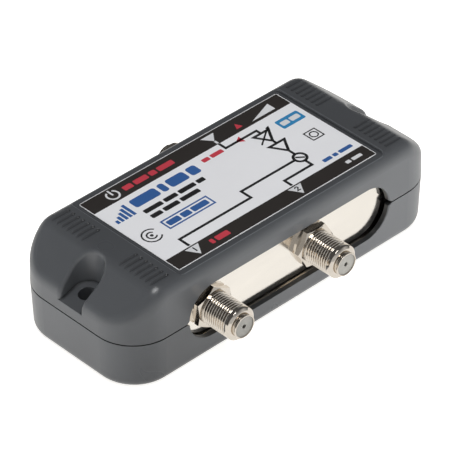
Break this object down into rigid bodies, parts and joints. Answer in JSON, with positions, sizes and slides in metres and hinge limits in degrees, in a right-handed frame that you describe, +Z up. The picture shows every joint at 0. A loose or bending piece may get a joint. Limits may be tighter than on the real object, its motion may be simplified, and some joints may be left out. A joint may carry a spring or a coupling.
{
  "type": "tv antenna signal amplifier",
  "caption": "Oblong two-part plastic case with sloping ends, holding a shielded signal amplifier with threaded coaxial ports front and rear, a power socket and a screwdriver-set gain control.",
  "frame": {"origin": "Centre of the base: on the resting face, midway along and across the case.", "axes": "+Z up, +X along the case, the two output ports towards -Y, the input port, power socket and gain control towards +Y."},
  "size_m": [0.1102, 0.0664, 0.0292],
  "materials": {
    "case_plastic": "finely textured",
    "label_film": "satin",
    "zinc_steel": "zinc plated",
    "tinplate": "bright tin",
    "board_laminate": "solder mask",
    "nickel_plate": "nickel plated",
    "insulator_plastic": "smooth",
    "contact_brass": "plain",
    "black_plastic": "moulded",
    "capacitor_can": "bright",
    "ceramic_tan": "fired",
    "ferrite": "sintered",
    "enamelled_copper": "lacquered"
  },
  "bodies": {
    "case": {"upper_shell": "case_plastic", "lower_shell": "case_plastic", "label_plate": "label_film", "case_screws": "zinc_steel", "shield_frame": "tinplate", "shield_top_cover": "tinplate", "shield_bottom_cover": "tinplate", "circuit_board": "board_laminate", "output_a_body": "nickel_plate", "output_a_insulator": "insulator_plastic", "output_a_contact": "contact_brass", "output_b_body": "nickel_plate", "output_b_insulator": "insulator_plastic", "output_b_contact": "contact_brass", "input_body": "nickel_plate", "input_insulator": "insulator_plastic", "input_contact": "contact_brass", "connector_nuts": "nickel_plate", "connector_lock_washers": "nickel_plate", "power_socket_housing": "black_plastic", "power_socket_pin": "nickel_plate", "power_socket_spring": "contact_brass", "gain_trimmer_housing": "black_plastic", "gain_trimmer_wafer": "board_laminate", "gain_trimmer_pins": "tinplate", "electrolytic_capacitors": "capacitor_can", "voltage_regulator": "black_plastic", "amplifier_transistors": "black_plastic", "protection_diode": "black_plastic", "chip_resistors": "black_plastic", "ceramic_capacitors": "ceramic_tan", "splitter_core": "ferrite", "splitter_winding": "enamelled_copper", "choke_cores": "ferrite", "choke_windings": "enamelled_copper"},
    "gain_rotor": {"gain_trimmer_rotor": "insulator_plastic"}
  },
  "joints": [
    {"name": "gain_turn", "type": "hinge", "parent": "case", "child": "gain_rotor", "pos_m": [0.0261, 0.02025, 0.0188], "axis": [0, 1, 0], "range_deg": [-135, 135]}
  ]
}
